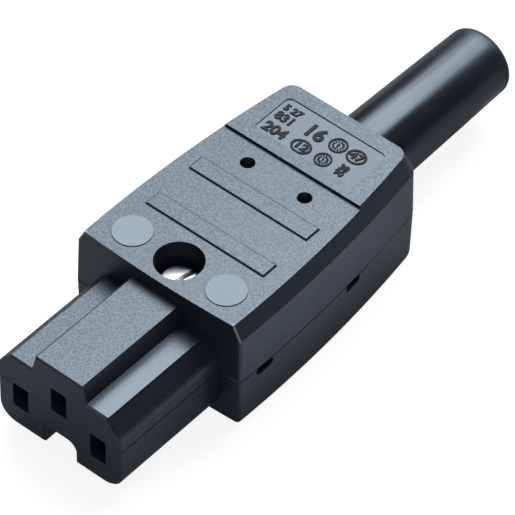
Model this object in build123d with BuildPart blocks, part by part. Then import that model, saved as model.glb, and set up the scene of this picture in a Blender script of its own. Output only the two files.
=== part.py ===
from build123d import *

import os

# A straight, rewirable appliance connector for very hot conditions. All sizes are in millimetres.
# The origin is on the mating face, midway between the two power slots. +X is to the right of someone who
# looks at the mating face, +Y runs through the connector to the cord, and +Z is up.

os.makedirs("parts", exist_ok=True)

# Clearances between pieces
slide_gap = 0.1
loose_gap = 0.25

# Poles: where the three pins enter, seen on the mating face
pole_pitch = 14.0
earth_rise = 4.0
slot_width = 2.8
slot_height = 4.4
slot_corner = 0.4
poles = {
    "line": (pole_pitch / 2, 0.0),
    "neutral": (-pole_pitch / 2, 0.0),
    "earth": (0.0, earth_rise),
}

# Nose
nose_length = 20.1
nose_half_width = 11.1
nose_bottom = -5.85
shoulder_level = 7.3
ridge_top = 10.25
ridge_top_half = 4.15
ridge_foot_half = 4.95
shoulder_half = 8.7
shoulder_drop = 2.6
shoulder_radius = 2.4
nose_bottom_radius = 3.0
keyway_half = 2.8
keyway_depth = 3.4
keyway_radius = 1.4
keyway_mouth_radius = 1.0
face_edge = 0.3
face_wall = 1.8

# Body
parting = 2.0
body_length = 42.2
body_front_half = 14.85
body_rear_half = 11.9
side_bow = 1.0
front_bow = 0.5
body_top = 12.3
body_bottom = -6.8
draft_angle = 1.3
rear_corner_radius = 3.6
front_corner_round = 0.4
top_chamfer_across = 1.4
top_chamfer_down = 2.9
bottom_round = 1.0
parting_edge = 0.12
side_wall = 2.0
front_wall = 2.2
roof = 2.2
floor = 2.0

body_front = nose_length
body_rear = body_front + body_length

# Relief on top of the body
field_length = 14.0
field_rise = 0.45
panel_half_width = 8.9
panel_length = 7.8
panel_inset = 4.1
panel_depth = 0.15
panel_corner = 1.0
strip_half_length = 10.55
strip_width = 2.75
strip_rise = 0.25
strip_edge = 0.12
strip_from_front = 11.05
strip_pitch = 9.0
disc_radius = 2.95
disc_spread = 8.46
disc_rise = 0.12
disc_edge = 0.05

field_front = body_rear - field_length
field_level = body_top + field_rise

# Housing screw and its nut
screw_from_front = 4.5
screw_radius = 1.5
screw_head_radius = 2.75
screw_head_height = 2.0
screw_head_round = 0.3
screw_slot_width = 0.8
screw_slot_depth = 0.9
screw_slot_turn = 78.0
screw_tip_gap = 0.4
screw_hole_radius = 3.6
screw_sink = 3.7
screw_seat_wall = 1.6
post_wall = 1.3
nut_across_flats = 5.5
nut_height = 2.4
nut_sink = 1.0

screw_y = body_front + screw_from_front
screw_seat = body_top - screw_sink - screw_head_height
screw_clear_radius = screw_radius + loose_gap
spigot_radius = screw_clear_radius + post_wall
nut_floor = body_bottom + nut_sink
nut_ceiling = nut_floor + nut_height

# Cord sleeve, and its seat in the rear wall
cord_radius = 3.5
sleeve_root_radius = 6.1
sleeve_tip_radius = 5.5
sleeve_neck_radius = 5.8
sleeve_flange_radius = 7.1
sleeve_flange_thickness = 2.0
sleeve_length = 28.7
sleeve_end_round = 1.2
rear_wall = 2.2
flange_rib = 1.8
sleeve_axis = Axis((0, 0, parting), (0, 1, 0))

sleeve_bore_radius = cord_radius + loose_gap
flange_rear = body_rear - rear_wall
flange_front = flange_rear - sleeve_flange_thickness
flange_slot_front = flange_front - slide_gap
wiring_rear = flange_slot_front - flange_rib

# Rear screws and cord saddle
clamp_from_rear = 17.45
clamp_spread = 5.15
clamp_radius = 1.45
clamp_head_radius = 2.6
clamp_head_height = 1.8
clamp_sink = 0.7
clamp_core_radius = 1.1
clamp_grip = 4.3
boss_wall = 1.2
boss_foot_gap = 0.8
saddle_half_length = 8.3
saddle_width = 5.6
saddle_thickness = 2.3
saddle_sink = 0.4
saddle_corner = 1.0
tooth_thickness = 1.0
tooth_half_length = 2.4
jaw_thickness = 1.2
jaw_pitch = 3.6
jaw_foot_gap = 1.6

clamp_y = body_rear - clamp_from_rear
clamp_clear_radius = clamp_radius + slide_gap
boss_radius = clamp_clear_radius + boss_wall
boss_foot = parting + cord_radius + boss_foot_gap
clamp_tip = boss_foot + clamp_grip
clamp_seat = body_bottom + clamp_sink + clamp_head_height
saddle_top = parting - cord_radius + saddle_sink
saddle_bottom = saddle_top - saddle_thickness

# Contacts, spring clips and terminals
leaf_thickness = 0.5
leaf_height = 4.2
leaf_pinch_half = 1.1
leaf_mouth_half = 1.75
leaf_root_half = 1.45
leaf_mouth_length = 2.2
leaf_straight_length = 4.4
leaf_length = 10.1
tail_width = 3.4
tail_thickness = 0.8
tail_overhang = 0.3
spring_thickness = 0.3
spring_length = 3.2
spring_lip = 1.0
terminal_width = 4.4
terminal_length = 6.2
terminal_height = 5.4
terminal_corner = 0.6
wire_hole_height = 3.1
terminal_screw_radius = 1.5
terminal_head_radius = 2.0
terminal_head_height = 1.3
terminal_head_gap = 0.2
terminal_screw_reach = 2.4

contact_front = face_wall + loose_gap
leaf_rear = contact_front + leaf_length
terminal_front = leaf_rear + 1.1
terminal_rear = terminal_front + terminal_length
chamber_width = 2 * leaf_mouth_half + leaf_thickness + 2 * loose_gap
chamber_height = leaf_height + 2 * spring_thickness + 2 * loose_gap
terminal_room_width = terminal_width + 2 * slide_gap
terminal_head_top = terminal_height / 2 + terminal_head_gap + terminal_head_height
terminal_room_height = terminal_height / 2 + terminal_head_top + loose_gap
wiring_front = body_front + front_wall

# Pry slots in the sides, below the parting line
pry_slot_height = 1.4
pry_slot_depth = 1.0
pry_slots = ((screw_y + 0.6, 3.5), (clamp_y + 0.1, 3.2))

parting_plane = Plane.XY.offset(parting)


# Outline of the nose, seen on the mating face
with BuildSketch(Plane.XZ) as nose_outline:
    with BuildLine():
        Polyline(
            (-ridge_top_half, ridge_top),
            (ridge_top_half, ridge_top),
            (ridge_foot_half, shoulder_level),
            (shoulder_half, shoulder_level),
            (nose_half_width, shoulder_level - shoulder_drop),
            (nose_half_width, nose_bottom),
            (-nose_half_width, nose_bottom),
            (-nose_half_width, shoulder_level - shoulder_drop),
            (-shoulder_half, shoulder_level),
            (-ridge_foot_half, shoulder_level),
            close=True,
        )
    make_face()
    outer_corners = nose_outline.vertices().group_by(Axis.X)[0] + nose_outline.vertices().group_by(Axis.X)[-1]
    fillet(outer_corners.group_by(Axis.Y)[-1], shoulder_radius)
    fillet(nose_outline.vertices().group_by(Axis.Y)[0], nose_bottom_radius)
    with BuildLine():
        Polyline(
            (-keyway_half, nose_bottom - keyway_depth),
            (-keyway_half, nose_bottom + keyway_depth),
            (keyway_half, nose_bottom + keyway_depth),
            (keyway_half, nose_bottom - keyway_depth),
            close=True,
        )
    make_face(mode=Mode.SUBTRACT)
    keyway_corners = nose_outline.vertices().filter_by(lambda v: abs(abs(v.X) - keyway_half) < slide_gap)
    fillet(keyway_corners.group_by(Axis.Y)[-1], keyway_radius)
    fillet(keyway_corners.group_by(Axis.Y)[0], keyway_mouth_radius)

# Outline of the body, seen from above, at its widest on the parting plane
middle_y = (body_front + body_rear) / 2
middle_half = (body_front_half + body_rear_half) / 2 + side_bow
with BuildSketch(parting_plane) as body_outline:
    with BuildLine():
        ThreePointArc((body_front_half, body_front), (middle_half, middle_y), (body_rear_half, body_rear))
        Line((body_rear_half, body_rear), (-body_rear_half, body_rear))
        ThreePointArc((-body_rear_half, body_rear), (-middle_half, middle_y), (-body_front_half, body_front))
        ThreePointArc((-body_front_half, body_front), (0, body_front - front_bow), (body_front_half, body_front))
    make_face()
    fillet(body_outline.vertices().group_by(Axis.Y)[-1], rear_corner_radius)


def at_front_corner(edge):
    """Whether an edge runs down one of the body's two front corners."""
    middle = edge @ 0.5
    return middle.Y < body_front + top_chamfer_across and abs(middle.X) > body_front_half - top_chamfer_across


# The nose as one solid, with the edge round its mating face broken; each half takes its share
with BuildPart() as nose:
    extrude(nose_outline.sketch, amount=-body_front - front_wall / 2)
    chamfer(nose.faces().sort_by(Axis.Y)[0].outer_wire().edges(), face_edge)

# The space inside the closed housing, which both halves share
with BuildPart() as hollows:
    with BuildSketch(Plane.XZ) as pin_slots:
        with Locations(*poles.values()):
            RectangleRounded(slot_width, slot_height, slot_corner)
    extrude(amount=-face_wall - slide_gap)
    with BuildSketch(Plane.XZ.offset(-face_wall)) as contact_chambers:
        with Locations(*poles.values()):
            Rectangle(chamber_width, chamber_height)
    extrude(amount=-(wiring_front - face_wall))
    with BuildSketch(Plane.XZ.offset(-terminal_front + slide_gap)) as terminal_chambers:
        room_centre = (terminal_head_top + loose_gap - terminal_height / 2) / 2
        with Locations(*[(x, z + room_centre) for x, z in poles.values()]):
            Rectangle(terminal_room_width, terminal_room_height)
    extrude(amount=-(wiring_front - terminal_front + 2 * slide_gap))
    with BuildSketch(Plane.XY.offset(body_bottom + floor)) as wiring_space:
        add(body_outline.sketch_local)
        offset(amount=-side_wall, kind=Kind.INTERSECTION)
        with Locations((0, (wiring_front + wiring_rear) / 2)):
            Rectangle(4 * body_front_half, wiring_rear - wiring_front, mode=Mode.INTERSECT)
    extrude(amount=body_top - roof - body_bottom - floor)
    with BuildSketch(Plane.XZ.offset(-wiring_rear + slide_gap)) as cord_way:
        with Locations((0, parting)):
            Circle(cord_radius + 2 * loose_gap)
    extrude(amount=-(flange_front - wiring_rear))
    with BuildSketch(Plane.XZ.offset(-flange_slot_front)) as flange_slot:
        with Locations((0, parting)):
            Circle(sleeve_flange_radius + slide_gap)
    extrude(amount=-(flange_rear + slide_gap - flange_slot_front))
    with BuildSketch(Plane.XZ.offset(-flange_rear)) as neck_hole:
        with Locations((0, parting)):
            Circle(sleeve_neck_radius + slide_gap)
    extrude(amount=-2 * rear_wall)

# What the pry slots take out of the sides: slots across the body, less its core
with BuildPart() as pry_cutters:
    with BuildSketch(Plane.YZ) as pry_profiles:
        for slot_y, slot_length in pry_slots:
            with Locations((slot_y, parting - pry_slot_height / 2)):
                SlotOverall(slot_length, pry_slot_height)
    extrude(amount=2 * body_front_half, both=True)
    with BuildSketch(parting_plane.offset(-2 * pry_slot_height)) as kept_core:
        add(body_outline.sketch_local)
        offset(amount=-pry_slot_depth)
    extrude(amount=4 * pry_slot_height, mode=Mode.SUBTRACT)

# Upper housing
with BuildPart() as upper_housing:
    extrude(body_outline.sketch, amount=field_level - parting, taper=draft_angle)
    crown = upper_housing.faces().sort_by(Axis.Z)[-1]
    rim = crown.edges().sort_by(Axis.Y)[1:]
    chamfer(rim, length=top_chamfer_across, length2=top_chamfer_down, reference=crown)
    front_corners = upper_housing.edges().filter_by(at_front_corner)
    fillet(front_corners, front_corner_round)
    with BuildSketch(Plane.XY.offset(body_top)) as low_zone:
        with Locations((0, field_front - body_length)):
            Rectangle(4 * body_front_half, 2 * body_length)
    extrude(amount=2 * field_rise, mode=Mode.SUBTRACT)
    add(nose.part)
    split(bisect_by=parting_plane, keep=Keep.TOP)
    chamfer(upper_housing.faces().sort_by(Axis.Z)[0].outer_wire().edges(), parting_edge)
    add(hollows.part, mode=Mode.SUBTRACT)
    # screw post: wide round the sunk head, narrow below it, where the earth wire passes
    with BuildSketch(Plane.XY.offset(screw_seat - screw_seat_wall)) as upper_post:
        with Locations((0, screw_y)):
            Circle(screw_hole_radius + post_wall)
    extrude(amount=body_top - roof / 2 - screw_seat + screw_seat_wall)
    with BuildSketch(parting_plane) as upper_spigot:
        with Locations((0, screw_y)):
            Circle(spigot_radius)
    extrude(amount=screw_seat - parting)
    with Locations((0, screw_y, body_top)):
        CounterBoreHole(screw_clear_radius, screw_hole_radius, body_top - screw_seat)
    # bosses for the rear screws, with their open ends on top, and the jaws that the cord is pressed against
    with BuildSketch(Plane.XY.offset(boss_foot)) as bosses:
        with Locations((clamp_spread, clamp_y), (-clamp_spread, clamp_y)):
            Circle(boss_radius)
    extrude(amount=body_top - roof / 2 - boss_foot)
    with BuildSketch(Plane.XY.offset(parting + jaw_foot_gap)) as jaws:
        with Locations((0, clamp_y - jaw_pitch / 2), (0, clamp_y + jaw_pitch / 2)):
            Rectangle(2 * clamp_spread, jaw_thickness)
    extrude(amount=body_top - roof / 2 - parting - jaw_foot_gap)
    with BuildSketch(Plane.XZ.offset(-clamp_y)) as cord_arch:
        with Locations((0, parting)):
            Circle(cord_radius)
    extrude(amount=jaw_pitch, both=True, mode=Mode.SUBTRACT)
    with Locations((clamp_spread, clamp_y, field_level), (-clamp_spread, clamp_y, field_level)):
        Hole(clamp_core_radius)
    with BuildSketch(parting_plane) as screw_ways:
        with Locations((clamp_spread, clamp_y), (-clamp_spread, clamp_y)):
            Circle(clamp_clear_radius)
    extrude(amount=clamp_tip + slide_gap - parting, mode=Mode.SUBTRACT)
    # relief on top: two strips, two discs and the recessed panel of the rear field
    with BuildSketch(Plane.XY.offset(body_top)) as strips:
        with Locations((0, body_front + strip_from_front), (0, body_front + strip_from_front + strip_pitch)):
            Rectangle(2 * strip_half_length, strip_width)
    extrude(amount=strip_rise)
    chamfer(upper_housing.faces(Select.LAST).group_by(Axis.Z)[-1].edges(), strip_edge)
    with BuildSketch(Plane.XY.offset(body_top)) as discs:
        with Locations((disc_spread, screw_y), (-disc_spread, screw_y)):
            Circle(disc_radius)
    extrude(amount=disc_rise)
    chamfer(upper_housing.faces(Select.LAST).group_by(Axis.Z)[-1].edges(), disc_edge)
    with BuildSketch(Plane.XY.offset(field_level)) as panel:
        with Locations((0, body_rear - panel_inset - panel_length / 2)):
            RectangleRounded(2 * panel_half_width, panel_length, panel_corner)
    extrude(amount=-panel_depth, mode=Mode.SUBTRACT)
upper_housing.part.label = "upper_housing"
export_step(upper_housing.part, "parts/upper_housing.step")

# Lower housing
with BuildPart() as lower_housing:
    extrude(body_outline.sketch, amount=parting - body_bottom, dir=(0, 0, -1), taper=draft_angle)
    sole = lower_housing.faces().sort_by(Axis.Z)[0]
    fillet(sole.edges().sort_by(Axis.Y)[1:], bottom_round)
    front_corners = lower_housing.edges().filter_by(at_front_corner).sort_by(SortBy.LENGTH)[-2:]
    fillet(front_corners, front_corner_round)
    add(nose.part)
    split(bisect_by=parting_plane, keep=Keep.BOTTOM)
    chamfer(lower_housing.faces().sort_by(Axis.Z)[-1].outer_wire().edges(), parting_edge)
    add(hollows.part, mode=Mode.SUBTRACT)
    # screw post over the captive nut
    with BuildSketch(Plane.XY.offset(body_bottom + floor / 2)) as nut_tower:
        with Locations((0, screw_y)):
            Circle(nut_across_flats / 2 + 2 * post_wall)
    extrude(amount=nut_ceiling + post_wall - body_bottom - floor / 2)
    with BuildSketch(Plane.XY.offset(nut_ceiling)) as lower_spigot:
        with Locations((0, screw_y)):
            Circle(spigot_radius)
    extrude(amount=parting - nut_ceiling)
    with BuildSketch(Plane.XY.offset(body_bottom)) as nut_pocket:
        with Locations((0, screw_y)):
            RegularPolygon(nut_across_flats / 2 + slide_gap / 2, 6, major_radius=False)
    extrude(amount=nut_ceiling - body_bottom, mode=Mode.SUBTRACT)
    with Locations((0, screw_y, parting)):
        Hole(screw_clear_radius)
    # bosses that the rear screws pass through, and that carry the saddle
    with BuildSketch(Plane.XY.offset(body_bottom + floor / 2)) as saddle_bosses:
        with Locations((clamp_spread, clamp_y), (-clamp_spread, clamp_y)):
            Circle(clamp_head_radius + slide_gap + boss_wall)
    extrude(amount=saddle_bottom - body_bottom - floor / 2)
    underside = Plane(origin=(0, clamp_y, body_bottom), x_dir=(1, 0, 0), z_dir=(0, 0, -1))
    with Locations(underside):
        with Locations((clamp_spread, 0), (-clamp_spread, 0)):
            CounterBoreHole(clamp_clear_radius, clamp_head_radius + slide_gap, clamp_seat - body_bottom)
    add(pry_cutters.part, mode=Mode.SUBTRACT)
lower_housing.part.label = "lower_housing"
export_step(lower_housing.part, "parts/lower_housing.step")

# Bend-protection sleeve, with its neck in the rear wall and its flange behind it
with BuildPart() as bend_sleeve:
    with BuildSketch(Plane.YZ) as sleeve_section:
        with BuildLine():
            Polyline(
                (flange_front, parting + sleeve_bore_radius),
                (flange_front, parting + sleeve_flange_radius),
                (flange_rear, parting + sleeve_flange_radius),
                (flange_rear, parting + sleeve_neck_radius),
                (body_rear, parting + sleeve_neck_radius),
                (body_rear, parting + sleeve_root_radius),
                (body_rear + sleeve_length, parting + sleeve_tip_radius),
                (body_rear + sleeve_length, parting + sleeve_bore_radius),
                close=True,
            )
        make_face()
        tip_corners = sleeve_section.vertices().group_by(Axis.X)[-1]
        fillet(tip_corners.sort_by(Axis.Y)[-1], sleeve_end_round)
        chamfer(tip_corners.sort_by(Axis.Y)[0], slide_gap * 3)
    revolve(axis=sleeve_axis)
bend_sleeve.part.label = "bend_sleeve"
export_step(bend_sleeve.part, "parts/bend_sleeve.step")

# Housing screw, slotted, with its seat in the post of the upper housing
with BuildPart() as housing_screw:
    with BuildSketch(Plane.XY.offset(screw_seat)) as screw_head:
        with Locations((0, screw_y)):
            Circle(screw_head_radius)
    extrude(amount=screw_head_height)
    fillet(housing_screw.edges().group_by(Axis.Z)[-1], screw_head_round)
    with BuildSketch(Plane.XY.offset(screw_seat)) as screw_shank:
        with Locations((0, screw_y)):
            Circle(screw_radius)
    extrude(amount=-(screw_seat - nut_floor - screw_tip_gap))
    chamfer(housing_screw.edges().group_by(Axis.Z)[0], screw_tip_gap)
    with BuildSketch(Plane.XY.offset(screw_seat + screw_head_height)) as screw_slot:
        with Locations(Location((0, screw_y), screw_slot_turn)):
            Rectangle(3 * screw_head_radius, screw_slot_width)
    extrude(amount=-screw_slot_depth, mode=Mode.SUBTRACT)
housing_screw.part.label = "housing_screw"
export_step(housing_screw.part, "parts/housing_screw.step")

# Nut, captive in the underside
with BuildPart() as housing_nut:
    with BuildSketch(Plane.XY.offset(nut_floor)) as nut_section:
        with Locations((0, screw_y)):
            RegularPolygon(nut_across_flats / 2, 6, major_radius=False)
            Circle(screw_radius + slide_gap / 2, mode=Mode.SUBTRACT)
    extrude(amount=nut_height)
    mouths = housing_nut.edges().filter_by(GeomType.CIRCLE)
    chamfer(mouths, slide_gap * 2)
housing_nut.part.label = "housing_nut"
export_step(housing_nut.part, "parts/housing_nut.step")

# Rear screws, from below, one each side of the cord
for side, x in {"left": -clamp_spread, "right": clamp_spread}.items():
    with BuildPart() as rear_screw:
        with BuildSketch(Plane.XY.offset(clamp_seat)) as clamp_head:
            with Locations((x, clamp_y)):
                Circle(clamp_head_radius)
        extrude(amount=-clamp_head_height)
        fillet(rear_screw.edges().group_by(Axis.Z)[0], screw_head_round)
        with BuildSketch(Plane.XY.offset(clamp_seat)) as clamp_shank:
            with Locations((x, clamp_y)):
                Circle(clamp_radius)
        extrude(amount=clamp_tip - clamp_seat)
        chamfer(rear_screw.edges().group_by(Axis.Z)[-1], screw_tip_gap)
        with BuildSketch(Plane.XY.offset(clamp_seat - clamp_head_height)) as clamp_slot:
            with Locations((x, clamp_y)):
                Rectangle(3 * clamp_head_radius, screw_slot_width)
        extrude(amount=screw_slot_depth, mode=Mode.SUBTRACT)
    rear_screw.part.label = f"rear_screw_{side}"
    export_step(rear_screw.part, f"parts/rear_screw_{side}.step")

# Saddle under the cord, with a hollow and three teeth across it
with BuildPart() as cord_saddle:
    with BuildSketch(Plane.XY.offset(saddle_bottom)) as saddle_outline:
        with Locations((0, clamp_y)):
            RectangleRounded(2 * saddle_half_length, saddle_width, saddle_corner)
        with Locations((clamp_spread, clamp_y), (-clamp_spread, clamp_y)):
            Circle(clamp_clear_radius, mode=Mode.SUBTRACT)
    extrude(amount=saddle_thickness)
    with BuildSketch(Plane.XZ.offset(-clamp_y)) as cord_hollow:
        with Locations((0, parting)):
            Circle(cord_radius + loose_gap)
    extrude(amount=saddle_width, both=True, mode=Mode.SUBTRACT)
    with BuildSketch(Plane.XZ.offset(-clamp_y)) as teeth:
        with Locations((0, saddle_top - saddle_thickness / 2)):
            Rectangle(2 * tooth_half_length, saddle_thickness)
    extrude(amount=tooth_thickness / 2, both=True)
cord_saddle.part.label = "cord_saddle"
export_step(cord_saddle.part, "parts/cord_saddle.step")

# Contacts: two leaves that pinch the pin, joined by a web, with a tail for the terminal
for pole, (x, z) in poles.items():
    with BuildPart() as contact:
        with BuildSketch(Plane.XY.offset(z - leaf_height / 2)) as leaves:
            with BuildLine():
                Polyline(
                    (x - leaf_mouth_half, contact_front),
                    (x - leaf_pinch_half, contact_front + leaf_mouth_length),
                    (x - leaf_pinch_half, contact_front + leaf_mouth_length + leaf_straight_length),
                    (x - leaf_root_half, leaf_rear),
                    (x + leaf_root_half, leaf_rear),
                    (x + leaf_pinch_half, contact_front + leaf_mouth_length + leaf_straight_length),
                    (x + leaf_pinch_half, contact_front + leaf_mouth_length),
                    (x + leaf_mouth_half, contact_front),
                )
            trace(line_width=leaf_thickness)
        extrude(amount=leaf_height)
        with BuildSketch(Plane.XY.offset(z - leaf_height / 2)) as tail:
            with Locations((x, (leaf_rear + terminal_rear + tail_overhang) / 2)):
                Rectangle(tail_width, terminal_rear + tail_overhang - leaf_rear)
        extrude(amount=tail_thickness)
    contact.part.label = f"{pole}_contact"
    export_step(contact.part, f"parts/{pole}_contact.step")

    # spring clip: a band round the leaves, open below
    with BuildPart() as spring:
        spring_front = contact_front + leaf_mouth_length + (leaf_straight_length - spring_length) / 2
        inner_half = leaf_pinch_half + leaf_thickness / 2
        outer_half = inner_half + spring_thickness
        with BuildSketch(Plane.XZ.offset(-spring_front)) as band:
            with Locations((x, z)):
                Rectangle(2 * outer_half, leaf_height + 2 * spring_thickness)
                Rectangle(2 * inner_half, leaf_height, mode=Mode.SUBTRACT)
            with Locations((x, z - leaf_height / 2 - spring_thickness / 2)):
                Rectangle(2 * (outer_half - spring_lip), 2 * spring_thickness, mode=Mode.SUBTRACT)
        extrude(amount=-spring_length)
    spring.part.label = f"{pole}_spring"
    export_step(spring.part, f"parts/{pole}_spring.step")

    # terminal block: a passage for the tail and the wire, and a threaded hole for the screw
    with BuildPart() as terminal:
        with BuildSketch(Plane.XZ.offset(-terminal_front)) as block:
            with Locations((x, z)):
                RectangleRounded(terminal_width, terminal_height, terminal_corner)
            with Locations((x, z - leaf_height / 2 + wire_hole_height / 2)):
                Rectangle(tail_width + slide_gap, wire_hole_height, mode=Mode.SUBTRACT)
        extrude(amount=-terminal_length)
        with Locations((x, (terminal_front + terminal_rear) / 2, z + terminal_height / 2)):
            Hole(terminal_screw_radius + slide_gap / 2, depth=terminal_height / 2)
    terminal.part.label = f"{pole}_terminal"
    export_step(terminal.part, f"parts/{pole}_terminal.step")

    with BuildPart() as terminal_screw:
        head_bottom = z + terminal_height / 2 + terminal_head_gap
        with BuildSketch(Plane.XY.offset(head_bottom)) as terminal_head:
            with Locations((x, (terminal_front + terminal_rear) / 2)):
                Circle(terminal_head_radius)
        extrude(amount=terminal_head_height)
        with BuildSketch(Plane.XY.offset(head_bottom)) as terminal_shank:
            with Locations((x, (terminal_front + terminal_rear) / 2)):
                Circle(terminal_screw_radius)
        extrude(amount=-terminal_screw_reach)
        with BuildSketch(Plane.XY.offset(head_bottom + terminal_head_height)) as driver_slot:
            with Locations((x, (terminal_front + terminal_rear) / 2)):
                Rectangle(3 * terminal_head_radius, screw_slot_width)
        extrude(amount=-screw_slot_depth, mode=Mode.SUBTRACT)
    terminal_screw.part.label = f"{pole}_terminal_screw"
    export_step(terminal_screw.part, f"parts/{pole}_terminal_screw.step")
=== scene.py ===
"""A straight, rewirable appliance connector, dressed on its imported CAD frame.

The scene is in metres. Sizes and places in the classes are in millimetres, as a maker's drawing gives them,
and mm() turns them into metres. Colours are linear. +X is to the right of someone who looks at the mating
face, +Y runs to the cord, +Z is up to the ridge side, and the origin is on the mating face between the two
power slots.
"""
import logging
import math
from dataclasses import dataclass
from enum import Enum

import bmesh
import bpy
import numpy as np
from mathutils import Matrix, Vector


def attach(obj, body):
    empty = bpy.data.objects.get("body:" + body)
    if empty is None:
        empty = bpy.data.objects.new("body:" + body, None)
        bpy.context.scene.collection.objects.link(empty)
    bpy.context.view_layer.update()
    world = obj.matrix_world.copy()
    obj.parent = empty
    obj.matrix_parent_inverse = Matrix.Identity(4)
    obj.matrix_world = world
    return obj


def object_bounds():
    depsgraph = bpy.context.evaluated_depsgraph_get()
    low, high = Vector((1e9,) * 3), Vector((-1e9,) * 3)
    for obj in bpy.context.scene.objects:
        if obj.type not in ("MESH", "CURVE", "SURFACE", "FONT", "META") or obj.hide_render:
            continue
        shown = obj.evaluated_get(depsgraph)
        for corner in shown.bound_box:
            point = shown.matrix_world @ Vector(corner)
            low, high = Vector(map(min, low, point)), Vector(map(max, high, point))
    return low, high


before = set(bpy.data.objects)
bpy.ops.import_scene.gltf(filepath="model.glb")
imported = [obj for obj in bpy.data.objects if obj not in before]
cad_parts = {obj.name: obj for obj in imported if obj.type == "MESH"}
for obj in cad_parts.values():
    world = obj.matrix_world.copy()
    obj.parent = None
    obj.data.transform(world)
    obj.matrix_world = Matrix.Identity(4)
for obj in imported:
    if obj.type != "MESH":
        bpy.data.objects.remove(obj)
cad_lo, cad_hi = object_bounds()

log = logging.getLogger("connector")

Point = tuple[float, float, float]
Box = tuple[Point, Point]
Colour = tuple[float, float, float]
Tint = tuple[float, float, float, float]
Socket = bpy.types.NodeSocket
Value = Socket | float
Shape = tuple[np.ndarray, list[tuple[int, ...]]]


def mm(value: float) -> float:
    """Millimetres as metres: a thousandth of the value."""
    return value * 0.001


# Node trees

# A Mix node repeats its sockets' names for every kind of data, so its colour sockets are found by place.
MIX_FIRST = 6
MIX_SECOND = 7
MIX_RESULT = 2


@dataclass(frozen=True)
class Ramp:
    """A smooth step: a value of low or less becomes start, and one of high or more becomes end."""

    low: float
    high: float
    start: float = 0.0
    end: float = 1.0

    def metres(self) -> "Ramp":
        """The ramp with its low and high turned from millimetres into metres."""
        return Ramp(mm(self.low), mm(self.high), self.start, self.end)


@dataclass(frozen=True)
class Noise:
    """Noise: its cells in a metre, its octaves, and how strong each further octave is."""

    scale: float
    detail: float = 2.0
    roughness: float = 0.5


@dataclass(frozen=True)
class Bump:
    """A bump: how many millimetres a height of 1 stands for, and how much of that shows."""

    depth: float
    strength: float


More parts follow.
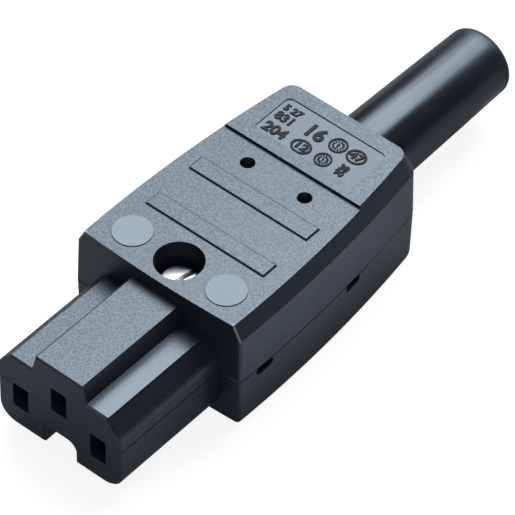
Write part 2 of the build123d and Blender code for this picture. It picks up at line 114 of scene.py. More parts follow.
class NodeTree:
    """A helper that adds nodes to the tree of a material or of the world."""

    def __init__(self, owner: bpy.types.Material | bpy.types.World, output: str) -> None:
        """Empties the owner's tree and gives it an output node.

        Args:
            owner: The material or world.
            output: The output node's type, without its "ShaderNode" prefix.
        """
        owner.use_nodes = True
        self.owner = owner
        self.tree = owner.node_tree
        self.tree.nodes.clear()
        self.output = self.add(output)

    @classmethod
    def of_material(cls, name: str) -> "NodeTree":
        """The tree of a new material with that name."""
        return cls(bpy.data.materials.new(name), "OutputMaterial")

    def add(self, kind: str, **settings: object) -> bpy.types.Node:
        """Adds one node.

        Args:
            kind: The node's type, without its "ShaderNode" prefix.
            settings: Attributes to set on the node.

        Returns:
            The node.
        """
        node = self.tree.nodes.new("ShaderNode" + kind)
        for key, value in settings.items():
            setattr(node, key, value)
        return node

    def link(self, source: Socket, target: Socket) -> None:
        """Joins an output socket to an input socket."""
        self.tree.links.new(source, target)

    def coordinates(self, scale: Point = (1.0, 1.0, 1.0)) -> Socket:
        """Object coordinates, stretched: position * scale.

        Args:
            scale: What each axis is multiplied by.

        Returns:
            The vector socket.
        """
        texture = self.add("TexCoord")
        mapping = self.add("Mapping")
        mapping.inputs["Scale"].default_value = scale
        self.link(texture.outputs["Object"], mapping.inputs["Vector"])
        return mapping.outputs["Vector"]

    def axes(self, vector: Socket) -> bpy.types.Node:
        """Splits a vector.

        Args:
            vector: What is split.

        Returns:
            A Separate XYZ node.
        """
        node = self.add("SeparateXYZ")
        self.link(vector, node.inputs["Vector"])
        return node

    def noise(self, vector: Socket, noise: Noise) -> Socket:
        """Noise from 0 to 1.

        Args:
            vector: Where it is read.
            noise: Its cells and octaves.

        Returns:
            The factor socket.
        """
        node = self.add("TexNoise")
        node.inputs["Scale"].default_value = noise.scale
        node.inputs["Detail"].default_value = noise.detail
        node.inputs["Roughness"].default_value = noise.roughness
        self.link(vector, node.inputs["Vector"])
        return node.outputs["Fac"]

    def math(self, operation: str, first: Value, second: Value = 0.0, third: Value = 0.0) -> Socket:
        """A Math node of up to three sockets or numbers.

        Args:
            operation: The node's operation.
            first: Its first value.
            second: Its second value, if the operation has one.
            third: Its third value, if the operation has one.

        Returns:
            The value socket.
        """
        node = self.add("Math", operation=operation)
        for index, value in enumerate((first, second, third)):
            if isinstance(value, Socket):
                self.link(value, node.inputs[index])
            else:
                node.inputs[index].default_value = value
        return node.outputs["Value"]

    def product(self, *values: Value) -> Socket:
        """Several values multiplied together.

        Args:
            values: Two or more sockets or numbers.

        Returns:
            The value socket.
        """
        result = values[0]
        for value in values[1:]:
            result = self.math("MULTIPLY", result, value)
        return result

    def average(self, first: Socket, second: Socket, share: float) -> Socket:
        """A weighted average: first * share + second * (1 - share).

        Args:
            first: The value that has the share.
            second: The value that has the rest.
            share: From 0 to 1.

        Returns:
            The value socket.
        """
        return self.math("ADD", self.product(first, share), self.product(second, 1.0 - share))

    def vector_math(self, operation: str, first: Socket, second: Vector | None = None) -> bpy.types.Node:
        """A Vector Math node of one vector, or of a vector and a constant.

        Args:
            operation: The node's operation.
            first: Its first vector.
            second: Its second vector, if the operation has one.

        Returns:
            The node.
        """
        node = self.add("VectorMath", operation=operation)
        self.link(first, node.inputs[0])
        if second is not None:
            node.inputs[1].default_value = second
        return node

    def span(self, value: Socket, ramp: Ramp) -> Socket:
        """Carries a value along a ramp: start + (end - start) * smooth step from low to high.

        Args:
            value: What is carried.
            ramp: From what to what.

        Returns:
            The result socket.
        """
        node = self.add("MapRange", interpolation_type="SMOOTHSTEP")
        node.inputs["From Min"].default_value = ramp.low
        node.inputs["From Max"].default_value = ramp.high
        node.inputs["To Min"].default_value = ramp.start
        node.inputs["To Max"].default_value = ramp.end
        self.link(value, node.inputs["Value"])
        return node.outputs["Result"]

    def toward(self, value: Value, mask: Socket, target: float) -> Socket:
        """A value that a mask carries to a target: value + mask * (target - value).

        Args:
            value: The result where the mask is 0.
            mask: From 0 to 1.
            target: The result where the mask is 1.

        Returns:
            The result socket.
        """
        return self.math("MULTIPLY_ADD", mask, self.math("SUBTRACT", target, value), value)

    def blend(self, factor: Socket, first: Socket | Colour, second: Colour) -> Socket:
        """A colour between two: first * (1 - factor) + second * factor.

        Args:
            factor: From 0 to 1.
            first: The colour where the factor is 0.
            second: The colour where the factor is 1.

        Returns:
            The colour socket.
        """
        node = self.add("Mix", data_type="RGBA")
        self.link(factor, node.inputs["Factor"])
        if isinstance(first, Socket):
            self.link(first, node.inputs[MIX_FIRST])
        else:
            node.inputs[MIX_FIRST].default_value = (*first, 1.0)
        node.inputs[MIX_SECOND].default_value = (*second, 1.0)
        return node.outputs[MIX_RESULT]

    def inside(self, axes: bpy.types.Node, box: Box) -> Socket:
        """A mask that is 1 where each axis is above its low and below its high, and 0 elsewhere.

        Args:
            axes: A Separate XYZ node of Object coordinates.
            box: The lowest and the highest corner in millimetres.

        Returns:
            The mask socket.
        """
        result: Value = 1.0
        for axis, low, high in zip("XYZ", *box):
            result = self.product(result, self.math("GREATER_THAN", axes.outputs[axis], mm(low)))
            result = self.product(result, self.math("LESS_THAN", axes.outputs[axis], mm(high)))
        return result

    def bump(self, height: Socket, bump: Bump, under: Socket | None = None) -> Socket:
        """Tilts the normal as a height says.

        Args:
            height: Height from 0 to 1.
            bump: How deep and how strong it is.
            under: The normal that it is laid over, or the mesh's own.

        Returns:
            The normal socket.
        """
        node = self.add("Bump")
        node.inputs["Distance"].default_value = mm(bump.depth)
        node.inputs["Strength"].default_value = bump.strength
        self.link(height, node.inputs["Height"])
        if under is not None:
            self.link(under, node.inputs["Normal"])
        return node.outputs["Normal"]

    def shader(self, **values: object) -> bpy.types.Node:
        """A Principled shader, joined to the output.

        Args:
            values: Constants by socket name, with _ for a space.

        Returns:
            The shader node.
        """
        node = self.add("BsdfPrincipled")
        for key, value in values.items():
            node.inputs[key.replace("_", " ")].default_value = value
        self.link(node.outputs["BSDF"], self.output.inputs["Surface"])
        return node

    def emission(self, colour: Tint, strength: Socket) -> Socket:
        """Light of the surface's own.

        Args:
            colour: The light's colour.
            strength: How strong it is.

        Returns:
            The shader socket.
        """
        node = self.add("Emission")
        node.inputs["Color"].default_value = colour
        self.link(strength, node.inputs["Strength"])
        return node.outputs[0]

    def sum(self, first: Socket, second: Socket) -> Socket:
        """Two shaders added.

        Args:
            first: A shader socket.
            second: A shader socket.

        Returns:
            The shader socket.
        """
        node = self.add("AddShader")
        self.link(first, node.inputs[0])
        self.link(second, node.inputs[1])
        return node.outputs[0]


# Finishes


@dataclass(frozen=True)
class MouldedThermoset:
    """Black thermoset moulding: a satin skin with a fine speckle, pale filler flecks and a painted highlight
    on the front mitres.

    The skin is smoother on the two round pads, in the marking panel and where the right shoulder of the nose
    has been rubbed. It is matt and darkened in painted shade lines round the foot of the raised strips and
    along the ridge.
    """

    name: str = "moulded_thermoset"
    dark: Colour = (0.0105, 0.0135, 0.0180)
    pale: Colour = (0.0150, 0.0190, 0.0250)
    fleck: Colour = (0.032, 0.038, 0.046)
    # A pale colour painted on the front mitres as a highlight.
    painted_highlight: Colour = (0.30, 0.31, 0.33)
    sheen_tint: Tint = (0.72, 0.87, 1.0, 1.0)
    ior: float = 1.68
    # The grain gives a fine bump and the pale flecks, and breaks up the painted highlight on the mitres.
    grain: Noise = Noise(5200.0, 2.0, 0.6)
    grain_bump: Bump = Bump(0.02, 0.12)
    grain_flecks: Ramp = Ramp(0.60, 0.72)
    highlight_breakup: Ramp = Ramp(0.3, 0.55, 0.35, 1.0)
    # The speckle gives a coarser bump, the tone and most of the roughness.
    speckle: Noise = Noise(3400.0, 3.0, 0.65)
    speckle_bump: Bump = Bump(0.02, 0.26)
    speckle_tone: Ramp = Ramp(0.3, 0.7)
    speckle_roughness: Ramp = Ramp(0.36, 0.64, 0.465, 0.305)
    # What is added to the roughness falls from the left side to the right.
    side_roughness: Ramp = Ramp(-13.0, 13.0, 0.02, -0.02)
    # Pads and strips stand on the top face, and their masks begin above this level.
    top_level: float = 12.2
    # Smoother areas: boxes by their lowest and highest corners, and pads by their middles.
    panel: Box = ((-8.9, 50.4, 12.5), (8.9, 58.2, 12.75))
    panel_roughness: float = 0.335
    shoulder: Box = ((4.9, 0.0, 7.0), (9.5, 20.1, 7.5))
    shoulder_rubbing: Ramp = Ramp(8.0, 20.0, 0.95, 0.5)
    shoulder_roughness: float = 0.24
    pads: tuple[tuple[float, float], ...] = ((8.46, 24.6), (-8.46, 24.6))
    pad_radius: float = 2.95
    pad_share: float = 0.95
    pad_roughness: float = 0.22
    # Painted shade lines, matt and darkened: a box along the ridge, and a band round the foot of each strip.
    ridge_shade_line: Box = ((-4.3, 0.3, 10.15), (-3.98, 20.1, 10.4))
    strip_rows: tuple[float, ...] = (31.15, 40.15)
    strip_half_length: float = 10.55
    strip_half_width: float = 1.375
    strip_foot: float = 12.36
    shade_line_width: float = 0.16
    shade_line_roughness: float = 0.75
    # The right front mitre's line, and how the painted highlight along it ends away from it and downwards.
    mitre: tuple[Point, Point] = ((13.25, 20.42, 12.3), (14.5, 20.45, 9.8))
    mitre_reach: Ramp = Ramp(0.132, 0.22, 1.0, 0.0)
    mitre_height: Ramp = Ramp(9.2, 10.2)

    def pad_mask(self, tree: NodeTree, axes: bpy.types.Node) -> Socket:
        """The round pads: x offset squared + y offset squared is less than the radius squared.

        Args:
            tree: The material's tree.
            axes: A Separate XYZ node of Object coordinates.

        Returns:
            A socket that is 1 on the pads and 0 elsewhere.
        """
        mask: Value = 0.0
        for x, y in self.pads:
            across = tree.math("POWER", tree.math("SUBTRACT", axes.outputs["X"], mm(x)), 2.0)
            along = tree.math("POWER", tree.math("SUBTRACT", axes.outputs["Y"], mm(y)), 2.0)
            near = tree.math("LESS_THAN", tree.math("ADD", across, along), mm(self.pad_radius) ** 2)
            mask = tree.math("MAXIMUM", mask, near)
        return tree.product(tree.math("GREATER_THAN", axes.outputs["Z"], mm(self.top_level)), mask)

    def painted_shade_line_mask(self, tree: NodeTree, axes: bpy.types.Node) -> Socket:
        """Painted shade lines: just outside each raised strip's outline, and along the ridge's left edge.

        How far a point lies outside a strip is the larger of |x| - half length and |y - row| - half width.

        Args:
            tree: The material's tree.
            axes: A Separate XYZ node of Object coordinates.

        Returns:
            A socket that is 1 on the lines and 0 elsewhere.
        """
        mask = tree.inside(axes, self.ridge_shade_line)
        foot = tree.math("LESS_THAN", axes.outputs["Z"], mm(self.strip_foot))
        top = tree.math("GREATER_THAN", axes.outputs["Z"], mm(self.top_level))
        across = tree.math("SUBTRACT", tree.math("ABSOLUTE", axes.outputs["X"]), mm(self.strip_half_length))
        for row in self.strip_rows:
            offset = tree.math("ABSOLUTE", tree.math("SUBTRACT", axes.outputs["Y"], mm(row)))
            outside = tree.math("MAXIMUM", across, tree.math("SUBTRACT", offset, mm(self.strip_half_width)))
            beyond = tree.math("GREATER_THAN", outside, 0.0)
            within = tree.math("LESS_THAN", outside, mm(self.shade_line_width))
            mask = tree.math("MAXIMUM", mask, tree.product(beyond, within, foot, top))
        return mask

    def painted_highlight_mask(self, tree: NodeTree, place: Socket, grain: Socket) -> Socket:
        """A painted highlight on the mitres of the two front top corners, which mirror each other.

        How far a point is from a mitre's line is the length of (point - start) x direction.

        Args:
            tree: The material's tree.
            place: Object coordinates.
            grain: Fine noise, which breaks the painted highlight up.

        Returns:
            A socket from 0 to 1.
        """
        start, end = (Vector(corner) * mm(1.0) for corner in self.mitre)
        mirrored = tree.vector_math("ABSOLUTE", place).outputs["Vector"]
        offset = tree.vector_math("SUBTRACT", mirrored, start).outputs["Vector"]
        crossed = tree.vector_math("CROSS_PRODUCT", offset, (end - start).normalized()).outputs["Vector"]
        away = tree.vector_math("LENGTH", crossed).outputs["Value"]
        near = tree.span(away, self.mitre_reach.metres())
        high = tree.span(tree.axes(mirrored).outputs["Z"], self.mitre_height.metres())
        return tree.product(near, high, tree.span(grain, self.highlight_breakup))

    def roughness(self, tree: NodeTree, axes: bpy.types.Node, speckle: Socket, matt: Socket) -> Socket:
        """The speckle's roughness plus the side's, carried to its own value in each smoother or matt area.

        Args:
            tree: The material's tree.
            axes: A Separate XYZ node of Object coordinates.
            speckle: Noise.
            matt: The mask of the painted shade lines.

        Returns:
            The roughness socket.
        """
        side = tree.span(axes.outputs["X"], self.side_roughness.metres())
        skin = tree.math("ADD", tree.span(speckle, self.speckle_roughness), side)
        skin = tree.toward(skin, tree.inside(axes, self.panel), self.panel_roughness)
        rubbing = tree.span(axes.outputs["Y"], self.shoulder_rubbing.metres())
        rubbed = tree.product(tree.inside(axes, self.shoulder), rubbing)
        skin = tree.toward(skin, rubbed, self.shoulder_roughness)
        skin = tree.toward(skin, tree.product(self.pad_mask(tree, axes), self.pad_share), self.pad_roughness)
        # The painted shade lines are made matt.
        return tree.toward(skin, matt, self.shade_line_roughness)

    def material(self) -> bpy.types.Material:
        """The material.

        Returns:
            A node material on Object coordinates.
        """
        tree = NodeTree.of_material(self.name)
        place = tree.coordinates()
        axes = tree.axes(place)
        grain = tree.noise(place, self.grain)
        speckle = tree.noise(place, self.speckle)
        matt = self.painted_shade_line_mask(tree, axes)
        tone = tree.blend(tree.span(speckle, self.speckle_tone), self.dark, self.pale)
        tone = tree.blend(tree.span(grain, self.grain_flecks), tone, self.fleck)
        # The painted shade lines are darkened to the darkest tone.
        tone = tree.blend(matt, tone, self.dark)
        # The front mitres get a pale painted highlight.
        tone = tree.blend(self.painted_highlight_mask(tree, place, grain), tone, self.painted_highlight)
        normal = tree.bump(grain, self.grain_bump, tree.bump(speckle, self.speckle_bump))
        surface = tree.shader(IOR=self.ior, Specular_Tint=self.sheen_tint)
        tree.link(self.roughness(tree, axes, speckle, matt), surface.inputs["Roughness"])
        tree.link(tone, surface.inputs["Base Color"])
        tree.link(normal, surface.inputs["Normal"])
        return tree.owner


@dataclass(frozen=True)
class MattMark:
    """The dull, spark-eroded skin of raised marks."""

    name: str = "matt_mark"
    dark: Colour = (0.0070, 0.0090, 0.0120)
    pale: Colour = (0.0120, 0.0150, 0.0190)
    roughness: float = 0.75
    ior: float = 1.45
    pits: Noise = Noise(14000.0, 3.0, 0.7)
    pits_tone: Ramp = Ramp(0.3, 0.7)
    pits_bump: Bump = Bump(0.03, 0.5)

    def material(self) -> bpy.types.Material:
        """The material.

        Returns:
            A node material on Object coordinates.
        """
        tree = NodeTree.of_material(self.name)
        pits = tree.noise(tree.coordinates(), self.pits)
        surface = tree.shader(IOR=self.ior, Roughness=self.roughness)
        tone = tree.blend(tree.span(pits, self.pits_tone), self.dark, self.pale)
        tree.link(tone, surface.inputs["Base Color"])
        tree.link(tree.bump(pits, self.pits_bump), surface.inputs["Normal"])
        return tree.owner


@dataclass(frozen=True)
class SleeveRubber:
    """Smooth black rubber: a soft sheen with faint long wipe marks, duller to the tip and matt on the lip."""

    name: str = "sleeve_rubber"
    dark: Colour = (0.0085, 0.0105, 0.0140)
    pale: Colour = (0.0125, 0.0155, 0.0200)
    sheen_tint: Tint = (0.72, 0.87, 1.0, 1.0)
    ior: float = 1.64
    # Clouds have their share of the tone, and wipe marks the rest. Wipe marks have their share of the height,
    # and fine grain the rest.
    cloud: Noise = Noise(70.0, 3.0)
    cloud_share: float = 0.6
    wipe: Noise = Noise(900.0, 3.0, 0.6)
    wipe_stretch: Point = (1.0, 0.12, 1.0)
    wipe_share: float = 0.6
    wipe_roughness: Ramp = Ramp(0.3, 0.7, 0.22, 0.29)
    fine: Noise = Noise(4200.0)
    tone: Ramp = Ramp(0.35, 0.65)
    bump: Bump = Bump(0.02, 0.16)
    # Along the sleeve: what is added to the roughness, and where it becomes the lip's own.
    tip_dulling: Ramp = Ramp(66.0, 91.0, 0.0, 0.10)
    lip: Ramp = Ramp(88.4, 91.0)
    lip_roughness: float = 0.62

    def material(self) -> bpy.types.Material:
        """The material: tone from clouds and wipe marks, height from wipe marks and fine grain.

        Returns:
            A node material on Object coordinates.
        """
        tree = NodeTree.of_material(self.name)
        place = tree.coordinates()
        axes = tree.axes(place)
        cloud = tree.noise(place, self.cloud)
        wipe = tree.noise(tree.coordinates(self.wipe_stretch), self.wipe)
        fine = tree.noise(place, self.fine)
        tone = tree.span(tree.average(cloud, wipe, self.cloud_share), self.tone)
        height = tree.average(wipe, fine, self.wipe_share)
        tip = tree.span(axes.outputs["Y"], self.tip_dulling.metres())
        skin = tree.math("ADD", tree.span(wipe, self.wipe_roughness), tip)
        lip = tree.span(axes.outputs["Y"], self.lip.metres())
        surface = tree.shader(IOR=self.ior, Specular_Tint=self.sheen_tint)
        tree.link(tree.blend(tone, self.dark, self.pale), surface.inputs["Base Color"])
        tree.link(tree.toward(skin, lip, self.lip_roughness), surface.inputs["Roughness"])
        tree.link(tree.bump(height, self.bump), surface.inputs["Normal"])
        return tree.owner


@dataclass(frozen=True)
class TurnedMetal:
    """Bare or plated metal, with fine turning or rolling marks and a little dulling."""

    name: str
    bright: Colour
    dull: Colour
    cloud_roughness: Ramp
    marks: Noise = Noise(9000.0)
    marks_stretch: Point = (0.15, 0.15, 1.0)
    marks_bump: Bump = Bump(0.004, 0.2)
    cloud: Noise = Noise(380.0, 3.0)
    cloud_tone: Ramp = Ramp(0.35, 0.65)

    def material(self) -> bpy.types.Material:
        """The material.

        Returns:
            A node material on Object coordinates.
        """
        tree = NodeTree.of_material(self.name)
        cloud = tree.noise(tree.coordinates(), self.cloud)
        marks = tree.noise(tree.coordinates(self.marks_stretch), self.marks)
        tone = tree.blend(tree.span(cloud, self.cloud_tone), self.bright, self.dull)
        surface = tree.shader(Metallic=1.0)
        tree.link(tone, surface.inputs["Base Color"])
        tree.link(tree.span(cloud, self.cloud_roughness), surface.inputs["Roughness"])
        tree.link(tree.bump(marks, self.marks_bump), surface.inputs["Normal"])
        return tree.owner


PLATED_STEEL = TurnedMetal("plated_steel", (0.93, 0.93, 0.92), (0.80, 0.80, 0.79),
                           Ramp(0.3, 0.7, 0.30, 0.42), Noise(3500.0))
CONTACT_BRASS = TurnedMetal("contact_brass", (0.83, 0.63, 0.30), (0.60, 0.43, 0.20),
                            Ramp(0.3, 0.7, 0.24, 0.42))
SPRING_STEEL = TurnedMetal("spring_steel", (0.56, 0.56, 0.57), (0.40, 0.40, 0.42),
                           Ramp(0.3, 0.7, 0.28, 0.45))


# The studio


@dataclass(frozen=True)
class PhotoCamera:
    """The photograph's camera, as fitted to it. Angles are in degrees."""

    focal_pixels: float = 5000.0
    image_pixels: float = 515.0
    sensor: float = 36.0
    azimuth: float = 39.878
    elevation: float = 46.513
    roll: float = 0.900
    shift_right: float = -3.980
    shift_up: float = -3.212
    distance: float = 691.99
    target: Point = (0.0, 35.0, 0.0)
    nearest: float = 10.0
    farthest: float = 20000.0

    def build(self) -> None:
        """Makes the camera.

        It stands at the distance from the target, against the way that azimuth and elevation give, and is
        then moved back by the two shifts in the picture's plane. The lens is sensor * focal pixels / image
        pixels.
        """
        azimuth, elevation, roll = map(math.radians, (self.azimuth, self.elevation, self.roll))
        level = Vector((math.cos(azimuth), math.sin(azimuth), 0.0))
        ahead = Vector((-math.sin(azimuth), math.cos(azimuth), 0.0))
        forward = ahead * math.cos(elevation) - Vector((0.0, 0.0, math.sin(elevation)))
        rise = level.cross(forward)
        right = level * math.cos(roll) + rise * math.sin(roll)
        up = rise * math.cos(roll) - level * math.sin(roll)
        place = Vector(self.target) - forward * self.distance - right * self.shift_right - up * self.shift_up
        data = bpy.data.cameras.new("camera")
        data.sensor_width = self.sensor
        data.lens = self.sensor * self.focal_pixels / self.image_pixels
        data.clip_start = mm(self.nearest)
        data.clip_end = mm(self.farthest)
        obj = bpy.data.objects.new("camera", data)
        turn = Matrix((right, up, -forward)).transposed().to_4x4()
        obj.matrix_world = Matrix.Translation(place * mm(1.0)) @ turn
        bpy.context.scene.collection.objects.link(obj)
        bpy.context.scene.camera = obj


@dataclass(frozen=True)
class Floor:
    """A wide floor just under the object, white to the camera, which keeps the object's shadow.

    A camera below it sees through it to the underside. What glossy surfaces mirror in it is brightest a
    little to the right of the body, and fades to the front, the left, the rear and far away.
    """

    half_width: float = 3000.0
    gap: float = 0.05
    paper_dark: Colour = (0.22, 0.222, 0.225)
    paper_pale: Colour = (0.23, 0.232, 0.235)
    paper_cloud: Noise = Noise(3.0)
    paper_tone: Ramp = Ramp(0.3, 0.7)
    white: Tint = (1.0, 1.0, 1.0, 1.0)
    backdrop: Ramp = Ramp(200.0, 900.0, 0.87, 0.95)
    # The mirrored glow: rise and fall lie along a level way, near and far along X, and front along Y.
    mirror_tint: Tint = (0.80, 0.92, 1.06, 1.0)
    mirror_way: tuple[float, float] = (0.64, 0.77)
    mirror_rise: Ramp = Ramp(-10.0, 52.0, 0.25, 1.0)
    mirror_fall: Ramp = Ramp(58.0, 92.0, 1.0, 0.15)
    mirror_near: Ramp = Ramp(14.0, 27.0, 0.04, 0.46)
    mirror_far: Ramp = Ramp(28.0, 46.0, 1.0, 0.1)
    mirror_front: Ramp = Ramp(8.0, 30.0, 0.09, 0.012)

    def glow(self, tree: NodeTree, place: Socket) -> Socket:
        """What glossy surfaces mirror: rise * fall * near * far + front, each a ramp of the place.

        Args:
            tree: The material's tree.
            place: Object coordinates.

        Returns:
            The strength socket.
        """
        axes = tree.axes(place)
        across, ahead = self.mirror_way
        along = tree.math("ADD", tree.product(axes.outputs["X"], across),
                          tree.product(axes.outputs["Y"], ahead))
        rise = tree.span(along, self.mirror_rise.metres())
        fall = tree.span(along, self.mirror_fall.metres())
        near = tree.span(axes.outputs["X"], self.mirror_near.metres())
        far = tree.span(axes.outputs["X"], self.mirror_far.metres())
        front = tree.span(axes.outputs["Y"], self.mirror_front.metres())
        return tree.math("MULTIPLY_ADD", tree.product(rise, fall), tree.product(near, far), front)

    def material(self) -> bpy.types.Material:
        """Matt paper plus light of its own: the backdrop for the camera, and the glow for mirroring surfaces.

        Returns:
            A node material on Object coordinates, clear to a camera that sees the floor from below.
        """
        tree = NodeTree.of_material("floor")
        place = tree.coordinates()
        rays = tree.add("LightPath").outputs
        cloud = tree.span(tree.noise(place, self.paper_cloud), self.paper_tone)
        paper = tree.add("BsdfDiffuse")
        tree.link(tree.blend(cloud, self.paper_dark, self.paper_pale), paper.inputs["Color"])
        away = tree.vector_math("LENGTH", place).outputs["Value"]
        paleness = tree.span(away, self.backdrop.metres())
        shown = tree.emission(self.white, tree.product(rays["Is Camera Ray"], paleness))
        mirrored = tree.math("MAXIMUM", rays["Is Glossy Ray"], rays["Is Transmission Ray"])
        glossed = tree.emission(self.mirror_tint, tree.product(mirrored, self.glow(tree, place)))
        below = tree.add("NewGeometry").outputs["Backfacing"]
        clear = tree.add("BsdfTransparent")
        either = tree.add("MixShader")
        tree.link(tree.product(below, rays["Is Camera Ray"]), either.inputs["Fac"])
        tree.link(tree.sum(paper.outputs[0], tree.sum(shown, glossed)), either.inputs[1])
        tree.link(clear.outputs[0], either.inputs[2])
        tree.link(either.outputs[0], tree.output.inputs["Surface"])
        return tree.owner

    def build(self) -> None:
        """Makes the floor, one square round the origin."""
        size = mm(self.half_width)
        level = cad_lo.z - mm(self.gap)
        corners = [(-size, -size, level), (size, -size, level), (size, size, level), (-size, size, level)]
        mesh = bpy.data.meshes.new("floor")
        mesh.from_pydata(corners, [], [(0, 1, 2, 3)])
        obj = bpy.data.objects.new("floor", mesh)
        bpy.context.scene.collection.objects.link(obj)
        mesh.materials.append(self.material())


@dataclass(frozen=True)
class Lamp:
    """One soft box that faces the object: its direction is from the object, and its power is in watts."""

    name: str
    direction: Point
    distance: float
    size: tuple[float, float]
    power: float
    tint: Colour
    aim: Point = (0.0, 45.0, 0.0)

    def build(self) -> None:
        """Makes the lamp, at aim + direction * distance, turned to the aim."""
        data = bpy.data.lights.new(self.name, "AREA")
        data.shape = "RECTANGLE"
        data.size, data.size_y = (mm(side) for side in self.size)
        data.energy = self.power
        data.color = self.tint
        way = Vector(self.direction).normalized()
        obj = bpy.data.objects.new(self.name, data)
        obj.location = Vector(self.aim) * mm(1.0) + way * mm(self.distance)
        obj.rotation_mode = "QUATERNION"
        obj.rotation_quaternion = (-way).to_track_quat("-Z", "Y")
        bpy.context.scene.collection.objects.link(obj)


@dataclass(frozen=True)
class Sky:
    """A dim grey sky, brighter for matt surfaces, and white where the camera looks past the floor."""

    colour: Tint = (0.97, 0.985, 1.0, 1.0)
    dim: float = 0.015
    shown: float = 1.04
    matt_fill: float = 0.25

    def build(self) -> None:
        """Makes the sky, whose strength is shown or dim, plus the fill for rays from matt surfaces."""
        tree = NodeTree(bpy.data.worlds.new("sky"), "OutputWorld")
        rays = tree.add("LightPath").outputs
        seen = tree.span(rays["Is Camera Ray"], Ramp(0.0, 1.0, self.dim, self.shown))
        strength = tree.math("MULTIPLY_ADD", rays["Is Diffuse Ray"], self.matt_fill, seen)
        back = tree.add("Background")
        back.inputs["Color"].default_value = self.colour
        tree.link(strength, back.inputs["Strength"])
        tree.link(back.outputs[0], tree.output.inputs["Surface"])
        bpy.context.scene.world = tree.owner


@dataclass(frozen=True)
class Studio:
    """Pale floor, soft light and the photograph's camera.

    The key is a large soft box behind and above, which the flat top mirrors. The fills are weak and light the
    sides, and the spark is small and gives the edges a highlight.
    """

    camera: PhotoCamera = PhotoCamera()
    floor: Floor = Floor()
    lamps: tuple[Lamp, ...] = (
        Lamp("key", (-0.2805, 0.528, 0.8018), 900.0, (950.0, 620.0), 13.0, (0.92, 0.97, 1.0)),
        Lamp("fill_right", (0.9, -0.1, 0.5), 1100.0, (500.0, 700.0), 0.15, (0.90, 0.96, 1.0)),
        Lamp("fill_front", (-0.3, -0.9, 0.6), 1200.0, (600.0, 500.0), 0.8, (0.90, 0.96, 1.0)),
        Lamp("spark", (0.634, -0.547, 0.545), 900.0, (70.0, 70.0), 0.5, (0.95, 0.98, 1.0)),
    )
    sky: Sky = Sky()

    def build(self) -> None:
        """Makes the camera, the floor, the lamps and the sky."""
        for part in (self.camera, self.floor, *self.lamps, self.sky):
            part.build()
        bpy.context.scene.view_settings.view_transform = "Standard"


# Pieces of geometry

# Vertices that are no farther apart than this become one.
WELD = 0.0005


def revolved(profile: np.ndarray, segments: int) -> Shape:
    """A closed profile carried round the upright axis: (radius * cos, radius * sin, height) at each angle.

    Args:
        profile: Rows of radius and height, anticlockwise with the radius to the right.
        segments: Steps round the axis.

    Returns:
        Vertices and faces of a closed ring.
    """
    angles = np.arange(segments) * math.tau / segments
    rim = np.stack([np.cos(angles), np.sin(angles)], axis=-1)
    rows = len(profile)
    heights = np.broadcast_to(profile[None, :, 1:], (segments, rows, 1))
    vertices = np.concatenate([rim[:, None, :] * profile[None, :, :1], heights], axis=-1)
    at = np.arange(segments)[:, None] * rows + np.arange(rows)[None, :]
    after = np.roll(at, -1, axis=0)
    beside = np.roll(at, -1, axis=1)
    corner = np.roll(after, -1, axis=1)
    quads = np.stack([at, after, corner, beside], axis=-1).reshape(-1, 4)
    return vertices.reshape(-1, 3), [tuple(quad) for quad in quads.tolist()]


def piece(name: str, shapes: list[Shape], material: bpy.types.Material) -> None:
    """One object of one or more closed shapes, which rides on the body.

    Args:
        name: The piece's name.
        shapes: Vertices in millimetres, and faces.
        material: What it is made of.
    """
    starts = np.cumsum([0] + [len(vertices) for vertices, _ in shapes]).tolist()
    points = np.concatenate([vertices for vertices, _ in shapes]) * mm(1.0)
    faces = [tuple(start + corner for corner in face)
             for start, (_, rows) in zip(starts, shapes) for face in rows]
    mesh = bpy.data.meshes.new(name)
    mesh.from_pydata(points.tolist(), [], faces)
    build = bmesh.new()
    build.from_mesh(mesh)
    bmesh.ops.remove_doubles(build, verts=build.verts, dist=mm(WELD))
    bmesh.ops.recalc_face_normals(build, faces=build.faces)
    build.to_mesh(mesh)
    build.free()
    mesh.materials.append(material)
    obj = bpy.data.objects.new(name, mesh)
    bpy.context.scene.collection.objects.link(obj)
    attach(obj, "root")
    log.info("built %s with %d faces", name, len(mesh.polygons))


# Sub-assemblies


def dress(name: str, material: bpy.types.Material) -> None:
    """Gives a CAD node its material.

    Args:
        name: The node's name.
        material: What it is made of.
    """
    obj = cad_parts[name]
    obj.data.materials.clear()
    obj.data.materials.append(material)
    log.info("dressed %s with %s", name, material.name)


@dataclass(frozen=True)
class Housing:
    """The two moulded halves and the saddle inside them."""

    nodes: tuple[str, ...] = ("upper_housing", "lower_housing", "cord_saddle")
    finish: MouldedThermoset = MouldedThermoset()

    def build(self) -> None:
        """Dresses the moulded nodes."""
        material = self.finish.material()
        for name in self.nodes:
            dress(name, material)


class MarkKind(Enum):
    """What a raised mark shows."""

    DATE_DIAL = "date_dial"
    NUMBERED_RING = "numbered_ring"
    NUMBER = "number"


@dataclass(frozen=True)
class Mark:
    """One raised mark: its middle, how high it reads, its figures, and how much wider than plain it is."""

    kind: MarkKind
    x: float
    y: float
    height: float
    figures: str = ""
    stretch: float = 1.0


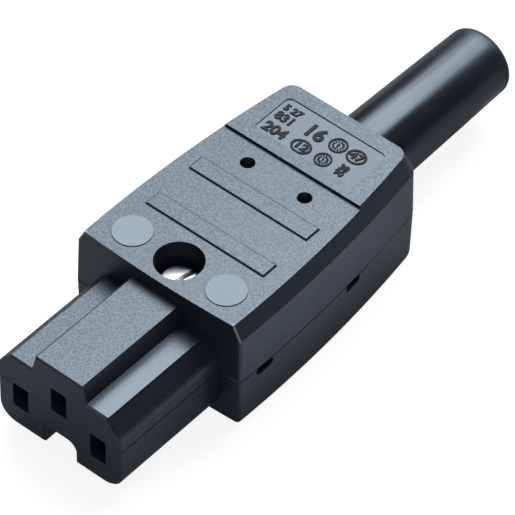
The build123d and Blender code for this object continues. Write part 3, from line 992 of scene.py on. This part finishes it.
@dataclass(frozen=True)
class Relief:
    """Raised marks on a level surface: plain numbers, numbered rings and mould-date dials.

    A mark rises over the surface, is rooted in it, and its sides lean in by the draft. The ticks and the
    arrow are measured in from the dial's edge in widths of the ring's line, and a tick's top keeps the
    taper's share of its foot. The text's size and weight are shares of the figures' height, its bevel is a
    share of the draft, and its spacing is a share of the plain one.
    """

    marks: tuple[Mark, ...]
    level: float
    rise: float = 0.12
    root: float = 0.02
    draft: float = 0.03
    line: float = 0.34
    ring_segments: int = 48
    ring_figures: float = 0.5
    tick_count: int = 12
    tick_outer: float = 1.5
    tick_inner: float = 2.6
    tick_half_width: float = 0.3
    tick_taper: float = 0.75
    arrow_inset: float = 3.0
    arrow_outline: tuple[tuple[float, float], ...] = (
        (0.0, 1.0), (-0.62, 0.15), (-0.2, 0.15), (-0.2, -1.0), (0.2, -1.0), (0.2, 0.15), (0.62, 0.15),
    )
    text_size: float = 1.35
    text_spacing: float = 0.8
    text_weight: float = 0.04
    text_bevel: float = 0.6
    text_steps: int = 4
    finish: MattMark = MattMark()

    def build(self) -> None:
        """Builds every mark as one piece of its own."""
        material = self.finish.material()
        for index, mark in enumerate(self.marks):
            shapes = [self.figures(mark)] if mark.figures else []
            if mark.kind is not MarkKind.NUMBER:
                shapes.append(self.ring(mark))
            if mark.kind is MarkKind.DATE_DIAL:
                shapes.append(self.ticks(mark))
                shapes.append(self.arrow(mark))
            piece(f"mark_{mark.kind.value}_{index}", shapes, material)

    def place(self, points: np.ndarray, mark: Mark) -> np.ndarray:
        """Carries points from the mark's own frame to the surface: points, stretched in x, plus the middle.

        Args:
            points: Rows of x, y and height over the surface, in millimetres.
            mark: The mark.

        Returns:
            Rows of x, y and z in millimetres.
        """
        return points * np.array([mark.stretch, 1.0, 1.0]) + np.array([mark.x, mark.y, self.level])

    def ring(self, mark: Mark) -> Shape:
        """The ring round a dial or a number: a drafted profile carried round.

        Args:
            mark: The mark.

        Returns:
            Its vertices and faces.
        """
        outer = mark.height / 2
        inner = outer - self.line
        foot = [(inner, -self.root), (outer, -self.root)]
        top = [(outer - self.draft, self.rise), (inner + self.draft, self.rise)]
        vertices, faces = revolved(np.array(foot + top), self.ring_segments)
        return self.place(vertices, mark), faces

    def ticks(self, mark: Mark) -> Shape:
        """The month ticks inside the ring: one tapered block, turned to each month's angle.

        Args:
            mark: The mark.

        Returns:
            Their vertices and faces.
        """
        outer = mark.height / 2 - self.line * self.tick_outer
        inner = mark.height / 2 - self.line * self.tick_inner
        half = self.line * self.tick_half_width
        foot = np.array([(inner, -half), (outer, -half), (outer, half), (inner, half)])
        middle = foot.mean(axis=0)
        top = middle + (foot - middle) * self.tick_taper
        corners = len(foot)
        block = np.concatenate([np.column_stack([foot, np.full(corners, -self.root)]),
                                np.column_stack([top, np.full(corners, self.rise)])])
        angles = np.arange(self.tick_count) * math.tau / self.tick_count
        cos = np.cos(angles)[:, None]
        sin = np.sin(angles)[:, None]
        heights = np.broadcast_to(block[:, 2], (self.tick_count, len(block)))
        across = cos * block[:, 0] - sin * block[:, 1]
        along = sin * block[:, 0] + cos * block[:, 1]
        turned = np.stack([across, along, heights], axis=-1)
        sides = [(0, 3, 2, 1), (4, 5, 6, 7), (0, 1, 5, 4), (1, 2, 6, 5), (2, 3, 7, 6), (3, 0, 4, 7)]
        faces = [tuple(len(block) * tick + corner for corner in quad)
                 for tick in range(self.tick_count) for quad in sides]
        return self.place(turned.reshape(-1, 3), mark), faces

    def arrow(self, mark: Mark) -> Shape:
        """The arrow of a dial: its outline times its reach, and less the draft at the tip's top.

        Args:
            mark: The mark.

        Returns:
            Its vertices and faces.
        """
        reach = mark.height / 2 - self.line * self.arrow_inset
        outline = np.array(self.arrow_outline) * reach
        count = len(outline)
        foot = np.column_stack([outline, np.full(count, -self.root)])
        top = np.column_stack([outline * (1.0 - self.draft / reach), np.full(count, self.rise)])
        sides = [(at, (at + 1) % count, count + (at + 1) % count, count + at) for at in range(count)]
        faces = sides + [tuple(range(count - 1, -1, -1)), tuple(range(count, 2 * count))]
        return self.place(np.concatenate([foot, top]), mark), faces

    def figures(self, mark: Mark) -> Shape:
        """Plain figures, one line or more, with drafted edges.

        A line's height is the mark's height over the number of lines, times the ring's share in a ring. The
        text is extruded to both sides by half of rise + root, less the bevel, and is then lifted by half of
        rise - root.

        Args:
            mark: The mark.

        Returns:
            Their vertices and faces.
        """
        share = self.ring_figures if mark.kind is MarkKind.NUMBERED_RING else 1.0
        size = mark.height / (mark.figures.count("\n") + 1) * share
        words = bpy.data.curves.new("figures", "FONT")
        words.body = mark.figures
        words.size = size * self.text_size
        words.align_x = "CENTER"
        words.align_y = "CENTER"
        words.space_line = self.text_spacing
        words.offset = size * self.text_weight
        words.extrude = (self.rise + self.root) / 2 - self.draft * self.text_bevel
        words.bevel_depth = self.draft * self.text_bevel
        words.bevel_resolution = 0
        words.resolution_u = self.text_steps
        holder = bpy.data.objects.new("figures", words)
        bpy.context.scene.collection.objects.link(holder)
        mesh = bpy.data.meshes.new_from_object(holder.evaluated_get(bpy.context.evaluated_depsgraph_get()))
        bpy.data.objects.remove(holder)
        points = np.empty(len(mesh.vertices) * 3)
        mesh.vertices.foreach_get("co", points)
        points = points.reshape(-1, 3) + np.array([0.0, 0.0, (self.rise - self.root) / 2])
        faces = [tuple(polygon.vertices) for polygon in mesh.polygons]
        bpy.data.meshes.remove(mesh)
        return self.place(points, mark), faces


# The marking panel's height, and the marks on it.
PANEL_LEVEL = 12.6
PANEL_MARKS = (
    Mark(MarkKind.NUMBER, -6.2, 51.85, 1.9, "204"),
    Mark(MarkKind.NUMBER, -6.6, 54.5, 1.6, "831"),
    Mark(MarkKind.NUMBER, -6.7, 56.4, 1.25, "5 27"),
    Mark(MarkKind.NUMBER, -1.6, 55.1, 2.5, "16"),
    Mark(MarkKind.NUMBERED_RING, -1.4, 51.85, 2.7, "12", 1.25),
    Mark(MarkKind.DATE_DIAL, 2.36, 55.4, 2.9),
    Mark(MarkKind.NUMBERED_RING, 5.7, 55.3, 2.8, "47", 1.15),
    Mark(MarkKind.DATE_DIAL, 2.5, 51.9, 2.7),
    Mark(MarkKind.NUMBER, 5.8, 51.9, 2.2, "38\n90"),
)


@dataclass(frozen=True)
class Metalwork:
    """Screws, nut, contacts, clips and terminals."""

    fixings: tuple[str, ...] = ("housing_screw", "housing_nut", "rear_screw_left", "rear_screw_right")
    poles: tuple[str, ...] = ("line", "neutral", "earth")

    def build(self) -> None:
        """Dresses the metal nodes."""
        steel, brass, spring = (finish.material() for finish in (PLATED_STEEL, CONTACT_BRASS, SPRING_STEEL))
        for name in self.fixings:
            dress(name, steel)
        for pole in self.poles:
            dress(f"{pole}_contact", brass)
            dress(f"{pole}_terminal", brass)
            dress(f"{pole}_spring", spring)
            dress(f"{pole}_terminal_screw", steel)


@dataclass(frozen=True)
class Sleeve:
    """The bend-protection sleeve."""

    finish: SleeveRubber = SleeveRubber()

    def build(self) -> None:
        """Dresses the sleeve."""
        dress("bend_sleeve", self.finish.material())


def main() -> None:
    """Builds the studio and the object."""
    logging.basicConfig(level=logging.INFO, format="%(name)s: %(message)s")
    Studio().build()
    Housing().build()
    Relief(PANEL_MARKS, PANEL_LEVEL).build()
    Metalwork().build()
    Sleeve().build()


if __name__ == "__main__":
    main()
